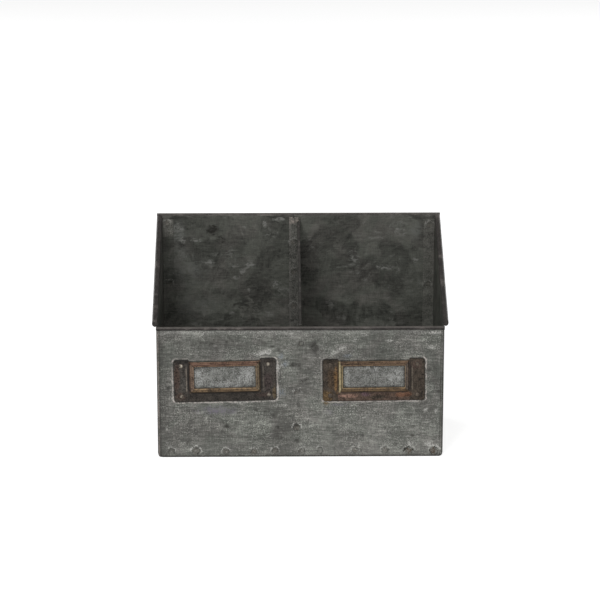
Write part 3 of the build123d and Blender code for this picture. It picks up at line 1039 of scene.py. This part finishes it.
def frontMarks(start, place, colour, grain, mottle, inside):
    blotch = place.cloud(3.6 * mm, 4, 0.65, start=12.4, warp=0.6)
    limit = (0.2 + mottle.fade(0.40, 0.60) * 0.5 + grain.fade(0.42, 0.62) * 0.6) * (1 - inside)
    colour = dab(start, colour, frontStains, blotch * 0.8 + grain * 0.6 - 0.2, limit)
    plateX, plateZ = labelFrames["plate"]
    corner = labelFrames["corner"]
    inX, inZ = plateX - corner, plateZ - corner
    half, bottom, top = labelFrames["window"]
    edge = labelFrames["border"]
    broken = place.cloud(3.2 * mm, 4, 0.75, start=13.1).fade(0.38, 0.58)
    for side in ("left", "right"):
        look = labelFrames[side]
        u, v = frameAxes(place, look)
        lifted = v + abs(u).fade(edge + 0.3, edge - 0.3) * v.fade(0.0, 5.0) * labelFrames["slotDrop"]
        out = (abs(u) - inX).most(0.0).length((abs(lifted) - inZ).most(0.0)) - corner
        edges = ((-u).fade(inX, plateX), u.fade(inX, plateX), v.fade(inZ, plateZ), (-v).fade(inZ, plateZ))
        strength = 0.0
        for share, near in zip(look["halo"], edges):
            strength = near * share + strength
        wander = out + (blotch - 0.5) * 2.4 + (grain - 0.5) * 1.2
        halo = wander.band(0.9, 1.5) * broken * strength.least(1.0)
        colour = (halo * 0.95).mix(colour, zinc["halo"])
        colour = (out.fade(0.7, 0.0) * 0.45).mix(colour, zinc["grime"])
        # paler in the windows: partly paler zinc, partly painted light against the frame's shade
        card = abs(u).fade(half + 1, half - 1) * abs(v - (bottom + top) / 2).fade(9, 7)
        pale = 0.09 + blotch.fade(0.38, 0.66) * 0.2 + (grain - 0.5) * 0.9
        colour = (card * pale).mix(colour, zinc["card"])
    x, y, z = place.axes()
    # paler band under the front rim: pale oxide, and painted light that lifts the shadow the rim casts; a
    # little pale oxide low down too
    underRim = frontTop - 2 * frontRollOut
    underRimOxideAndLight = z.fade(underRim - 4.5 * mm, underRim - 0.5 * mm) * (0.12 + grain.fade(0.42, 0.6) * 0.3)
    onLeft = x.fade(1.0 * mm, -1.0 * mm)
    underRimOxideAndLight = underRimOxideAndLight * (0.55 + onLeft * 0.45)
    low = z.fade(15 * mm, 6 * mm) * 0.07 + z.fade(36 * mm, 28 * mm) * (1 - onLeft) * 0.05
    colour = (underRimOxideAndLight.most(low * (0.5 + mottle)) * (1 - inside)).mix(colour, zinc["oxide"])
    ends = abs(x)
    onFace = y.fade(frontFace + bendOut + 0.6 * mm, frontFace + bendOut - 0.6 * mm)
    dusky = ends.fade(cornerFace - 10 * mm, cornerFace - 2 * mm) * onFace * onLeft
    colour = (dusky * 0.32).mix(colour, zinc["grime"])
    # painted light and shade on the rounded bends at the panel's ends: a dark line where each bend starts,
    # a pale highlight on the left bend, a dark outermost edge
    bendShade = ends.band(cornerFace - 2.2 * mm, 1.4 * mm) * (0.3 + broken * 0.4)
    colour = bendShade.mix(colour, zinc["grime"])
    bendHighlight = ends.band(cornerFace - 1.0 * mm, 1.0 * mm) * broken * onLeft * 0.7
    colour = bendHighlight.mix(colour, zinc["bendSheen"])
    rightEnd = ends.fade(cornerFace - 1.6 * mm, cornerFace - 0.8 * mm) * (1 - onLeft)
    outermost = ends.fade(cornerFace - 0.5 * mm, cornerFace - 0.1 * mm).most(rightEnd)
    colour = (outermost * onFace * 0.7).mix(colour, zinc["grime"])
    # painted shadow: darker along the panel's foot
    foot = z.fade(1.6 * mm, 0.6 * mm) * 0.7 + z.fade(3.4 * mm, 1.2 * mm) * 0.15
    return (foot * (1 - inside)).mix(colour, zinc["grime"])


# The divider's rear flange is browner than the back, and its edge has been rubbed.
def flangeMarks(start, place, colour, grain, mottle, inside):
    x, y, z = place.axes()
    behind = y.fade(rearBend, rearBend + 0.8 * mm)
    tone = 1 + (mottle - 0.5) * 2.4 + (grain - 0.5) * 3.0
    colour = (behind * 0.75).mix(colour, tone.most(0.3).tint(zinc["flange"]))
    tip = dividerSheet["middle"] + sheet / 2 - dividerSheet["flange"]
    rubbed = behind * (x - tip).fade(1.4 * mm, 0.3 * mm) * mottle.fade(0.3, 0.6) * 0.5
    colour = rubbed.mix(colour, zinc["flangeEdge"])
    worn = z.fade(*dividerSheet["worn"]) * mottle.fade(0.42, 0.62) * 0.55
    return (behind * worn).mix(colour, zinc["flangeWorn"])


def cornerMarks(start, place, colour, grain, mottle, inside):  # the same for the side panels
    x, y, z = place.axes()
    behind = y.fade(rearBend, rearBend + 0.8 * mm) * inside
    onRight = x.fade(-1.0 * mm, 1.0 * mm)
    share = onRight * 0.4 + z.fade(*sideSheet["browned"]) * (1 - onRight) * 0.85
    tone = 1 + (mottle - 0.5) * 2.0 + (grain - 0.5) * 2.4
    return (behind * share).mix(colour, tone.most(0.3).tint(zinc["corner"]))


# Inside of the back: a few dark and feathery pale patches.
backStains = {
    "insideDark": (
        (-55.8, 133.3, 4, 3, 0.5), (-92, 104, 4, 14, 0.3), (-28, 96, 9, 7, 0.35),
        (-81.6, 82.8, 4, 4, 0.6), (-95, 99, 6, 1.2, 0.6), (-47, 84, 6, 3, 0.35), (-14, 120, 5, 8, 0.35),
    ),
    "haze": (
        (-78, 110, 19, 15, 0.46), (-68, 84, 18, 10, 0.42), (-86.5, 138, 6, 10, 0.75),
        (-85, 122, 8, 10, 0.5), (-81, 84, 10, 13, 0.45), (84, 139.5, 6, 9, 0.55),
    ),
    "dusk": (
        (-36, 84, 26, 12, 0.5), (-30, 100, 10, 9, 0.36), (72, 98, 16, 12, 0.42),
    ),
    "soot": (
        (-62.2, 140, 4.6, 3.9, 0.95), (-56, 133, 4.8, 4, 0.5),
    ),
    "insidePale": (
        (-40.7, 109.8, 2.2, 2.4, 0.9), (-35.1, 114.4, 4, 1.6, 0.8), (-47, 113.6, 4.5, 1.3, 0.7),
        (-44.8, 104.6, 3.6, 1.4, 0.55), (-24.1, 144, 1.8, 3.2, 1), (-14.1, 147.4, 4, 1.5, 0.9),
        (-39.2, 142.1, 1.4, 1.4, 0.9), (-85.1, 142.8, 4, 3.2, 0.7), (-83.1, 131.9, 2.4, 3, 0.8),
        (-73.8, 132.4, 4.4, 1.3, 0.8), (-17.1, 99.8, 2.6, 3.2, 0.7), (-12.5, 96, 3, 2.4, 0.6),
        (-22.6, 77.6, 4.5, 2.6, 0.6), (-48.3, 77.8, 2.6, 1.9, 0.7), (-35.2, 95.4, 1.3, 1.3, 0.7),
        (-63.9, 116.3, 6, 2.2, 0.45), (-49, 122, 7, 7, 0.2), (-20, 138, 8, 9, 0.25),
        (72, 141, 9, 8, 0.3), (40, 120, 6, 10, 0.25), (62, 112, 7, 2, 0.6), (84, 118, 3, 5, 0.4),
        (22, 84, 4, 4.5, 0.4), (55, 134, 5, 2, 0.4),
    ),
}


def backMarks(start, place, colour, grain, mottle, inside):
    blotch = place.cloud(5 * mm, 4, 0.65, start=12.4, warp=0.8)
    wisps = place.cloud(2.2 * mm, 3, 0.6, stretch=(1.8, 1, 1), start=14.7, warp=1.0)
    ragged = blotch * 0.6 + wisps * 0.8 - 0.2
    return dab(start, colour, backStains, ragged, inside * (0.35 + wisps.fade(0.38, 0.62) * 0.85))


def softCopy(name, node):  # the CAD shape with its flat faces joined up, ready for soft edges
    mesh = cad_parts[node].data.copy()
    mesh.name = name
    build = bmesh.new()
    build.from_mesh(mesh)
    bmesh.ops.remove_doubles(build, verts=build.verts[:], dist=labelFrames["joinWithin"])
    bmesh.ops.dissolve_limit(build, angle_limit=radians(1), verts=build.verts[:], edges=build.edges[:])
    build.to_mesh(mesh)
    build.free()
    return mesh


# Rivets: low domes, knocked down by hand, with a clenched tail inside.
rivets = {
    "places": ((-30, 10.9), (30, 10.9), (-30, -10.9), (30, -10.9)),
    "plate": 0.8 * mm,
    "head": 1.6 * mm,
    "headHeight": 0.6 * mm,
    "dome": (0.25, 0.5, 0.75, 1.0, 1.25, 1.45),  # angles from the crown
    "domePower": 0.8,  # under 1 for a fuller dome
    "headLip": (0.05 * mm, 0.97),  # its height, and how far the head draws in below it
    "shank": 1.0 * mm,
    "tail": 1.5 * mm,
    "tailHeight": 0.7 * mm,
    "tailLip": (0.2 * mm, 0.85),
    "around": 28,
    "uneven": 0.04 * mm,
    "unevenFrom": 0.1 * mm,  # above the plate
    "softEdge": 0.05 * mm,
    "crown": (1.05 * mm, 1.38 * mm),  # where the worn crown and the grimy foot lie, out from the sheet
    "foot": (1.0 * mm, 0.8 * mm),
}


def makeRivets(name, look, seed):
    dice = random.Random(seed)
    build = bmesh.new()
    tilt = radians(look["tilt"])
    plate, head, shank, tail = [rivets[one] for one in ("plate", "head", "shank", "tail")]
    around = rivets["around"]
    headLip, headFoot = rivets["headLip"]
    tailLip, tailFoot = rivets["tailLip"]
    tailEnd = -sheet - rivets["tailHeight"]
    profile = []
    for a in rivets["dome"]:
        profile.append((head * sin(a), plate + rivets["headHeight"] * cos(a) ** rivets["domePower"]))
    profile += [(head, plate + headLip), (head * headFoot, plate), (shank, plate), (shank, -sheet)]
    profile += [(tail, -sheet), (tail, tailEnd + tailLip), (tail * tailFoot, tailEnd)]
    for u, v in rivets["places"]:
        x = (look["centre"][0] + u * cos(tilt) - v * sin(tilt)) * mm
        z = (look["centre"][1] + u * sin(tilt) + v * cos(tilt)) * mm
        tops = [dice.uniform(0, 2 * pi) for i in range(3)]
        loops = []
        for radius, out in profile:
            loop = []
            for i in range(around):
                angle = 2 * pi * i / around
                bump = sum(sin((k + 2) * angle + one) for k, one in enumerate(tops)) / 3
                uneven = rivets["uneven"] * (1 + bump)
                grow = 1 if out <= plate else 1 - uneven / head
                drop = uneven if out > plate + rivets["unevenFrom"] else 0
                across, up = radius * grow * cos(angle), radius * grow * sin(angle)
                loop.append(build.verts.new((x + across, frontFace - out + drop, z + up)))
            loops.append(loop)
        for first, second in zip(loops, loops[1:]):
            for i in range(around):
                build.faces.new((first[i - 1], first[i], second[i], second[i - 1]))
        for loop in (loops[0], loops[-1]):
            build.faces.new(loop)
    bmesh.ops.recalc_face_normals(build, faces=build.faces[:])
    return finishMesh(name, build)


def rivetPaint(name, look):
    dull, worn = look["rivets"]
    material, start, place = newPaint(name)
    patina = place.cloud(1.6 * mm, 3, 0.6, start=1.4)
    grain = place.cloud(0.5 * mm, 2, 0.6, start=4.8)
    y = place.axes()[1]
    crown = (frontFace - y).fade(*rivets["crown"])
    colour = (1 + (patina - 0.5) * 1.4).tint(dull)
    u, v = frameAxes(place, look)
    right, upper = u.fade(-1.0, 1.0), v.fade(-1.0, 1.0)
    left, lower = 1 - right, 1 - upper
    wear = 0.0
    for share, near in zip(look["wear"], (left * upper, right * upper, left * lower, right * lower)):
        wear = near * share + wear
    colour = (crown * patina.fade(0.38, 0.58) * wear).mix(colour, worn)
    foot = (frontFace - y).fade(*rivets["foot"])
    colour = (foot * 0.6).mix(colour, labelFrames["grime"])
    rough = 0.45 + (grain - 0.5) * 0.3
    finishPaint(start, colour, rough, 0.25, patina + grain * 0.5, 0.08 * mm, 0.5, 0.2)
    return material


wires = {
    "dull": shade(52, 48, 44),
    "worn": shade(98, 92, 86),
    "nodes": ("front_rim_wire", "back_rim_wire", "left_rim_wire", "right_rim_wire"),
}


def wirePaint():
    material, start, place = newPaint("darkened wire")
    patina = place.cloud(3 * mm, 3, 0.6, start=3.3)
    drawn = place.cloud(0.4 * mm, 2, 0.6, start=5.9)
    colour = patina.fade(0.35, 0.7).mix(wires["dull"], wires["worn"])
    rough = 0.42 + (drawn - 0.5) * 0.3
    metal = 0.6 + (patina - 0.5) * 0.3
    finishPaint(start, colour, rough, metal, drawn, 0.05 * mm, 0.5)
    return material


frontZinc = zincPaint("zinc front", frontMarks, (frontTop, frontRollOut))
backZinc = zincPaint("zinc back", backMarks, (backTop, rollOut))
sideZinc = zincPaint("zinc sides", cornerMarks)
dividerZinc = zincPaint("zinc divider", flangeMarks)
floorZinc = zincPaint("zinc floor")
sheetPieces = [
    showPiece("frontPanel", makeFront(), "front_panel", frontZinc),
    showPiece("backPanel", makeBack(), "back_panel", backZinc),
    showPiece("leftSide", makeSide("leftSide", -1), "left_side_panel", sideZinc),
    showPiece("rightSide", makeSide("rightSide", 1), "right_side_panel", sideZinc),
    showPiece("dividerWall", makeDivider(), "divider", dividerZinc),
    showPiece("floorPan", makeBase(), "base_pan", floorZinc),
]
for piece in sheetPieces:
    softenEdges(piece, body["edgeSoft"])
print("sheet pieces:", {piece.name: len(piece.data.polygons) for piece in sheetPieces})

for seed, side in enumerate(("left", "right")):
    look = labelFrames[side]
    name, node = f"{side}LabelFrame", f"{side}_label_frame"
    bronze = bronzePaint(f"aged bronze {side}", look)
    plate = showPiece(name, softCopy(name, node), node, bronze)
    softenEdges(plate, labelFrames["softEdge"], 3, 20)
    name, node = f"{side}Rivets", f"{side}_label_rivets"
    metal = rivetPaint(f"rivets {side}", look)
    heads = showPiece(name, makeRivets(name, look, seed), node, metal)
    softenEdges(heads, rivets["softEdge"], 1, 50)
print("label frames and rivets made")

darkWire = wirePaint()
for name in wires["nodes"]:
    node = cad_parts[name]
    node.data.materials.clear()
    node.data.materials.append(darkWire)

# Studio: pale floor, white all round, soft key from the front left, softer lamps behind.
studio = {
    "world": 0.2,
    "lamps": {
        "key": {"from": (-0.85, -2.05, 1.45), "size": 1.0, "power": 33},
        "fill": {"from": (0.35, -2.4, 1.25), "size": 1.5, "power": 17},
        "rearLeft": {"from": (-1.6, 1.5, 0.6), "size": 0.8, "power": 14},
        "rearRight": {"from": (1.6, 1.5, 0.6), "size": 0.8, "power": 17},
    },
    "aim": (0, 0, 0.08),
    "floor": 0.8,
    "floorGlow": 0.66,
    "floorReach": 8,
}
white = (1, 1, 1, 1)


def shownDirectly(start):  # camera, mirror and glass rays
    outputs = start.node("ShaderNodeLightPath").socket.node.outputs
    names = ("Is Camera Ray", "Is Glossy Ray", "Is Transmission Ray")
    camera, mirror, glass = [Strand(start.tree, outputs[name]) for name in names]
    return camera.most(mirror).most(glass)


world = bpy.data.worlds.new("white room")
room = clearNodes(world)
dim = room.node("ShaderNodeBackground", {}, {"Color": white, "Strength": studio["world"]})
full = room.node("ShaderNodeBackground", {}, {"Color": white, "Strength": 1.0})
mixed = room.node("ShaderNodeMixShader", {}, {0: shownDirectly(room), 1: dim, 2: full})
room.node("ShaderNodeOutputWorld", {}, {"Surface": mixed})
bpy.context.scene.world = world

floorMesh = bpy.data.meshes.new("floor")
reach = studio["floorReach"]
corners = [(-reach, -reach, 0), (reach, -reach, 0), (reach, reach, 0), (-reach, reach, 0)]
floorMesh.from_pydata(corners, [], [(0, 1, 2, 3)])
floor = newObject("floor", floorMesh)
floorPaint = bpy.data.materials.new("pale floor")
pale = clearNodes(floorPaint)
matt = pale.node("ShaderNodeBsdfDiffuse", {}, {"Color": (studio["floor"],) * 3 + (1,)})
glow = pale.node("ShaderNodeEmission", {}, {"Color": white, "Strength": studio["floorGlow"]})
lit = pale.node("ShaderNodeAddShader", {}, {0: matt, 1: glow})
both = pale.node("ShaderNodeMixShader", {}, {0: shownDirectly(pale), 1: matt, 2: lit})
pale.node("ShaderNodeOutputMaterial", {}, {"Surface": both})
floorMesh.materials.append(floorPaint)

for name, lamp in studio["lamps"].items():
    data = bpy.data.lights.new(name, "AREA")
    data.shape = "DISK"
    data.size = lamp["size"]
    data.energy = lamp["power"]
    light = newObject(name, data)
    light.location = lamp["from"]
    light.rotation_euler = (Vector(studio["aim"]) - light.location).to_track_quat("-Z", "Y").to_euler()

# Camera, as fitted to the photograph's outline.
view = {
    "turn": -0.786,
    "rise": 14.657,
    "away": 1.6555,
    "aim": (0.000366, 0, 0.099937),
    "focalPixels": 2352.4,
    "pixels": 600,
    "sensor": 36,
}
turn, rise = radians(view["turn"]), radians(view["rise"])
backwards = Vector((sin(turn) * cos(rise), -cos(turn) * cos(rise), sin(rise)))
cameraData = bpy.data.cameras.new("camera")
cameraData.sensor_width = view["sensor"]
cameraData.lens = view["focalPixels"] * view["sensor"] / view["pixels"]
camera = newObject("camera", cameraData)
camera.location = Vector(view["aim"]) + backwards * view["away"]
camera.rotation_euler = (-backwards).to_track_quat("-Z", "Y").to_euler()
bpy.context.scene.camera = camera
bpy.context.scene.view_settings.view_transform = "Standard"
print("studio and camera set")
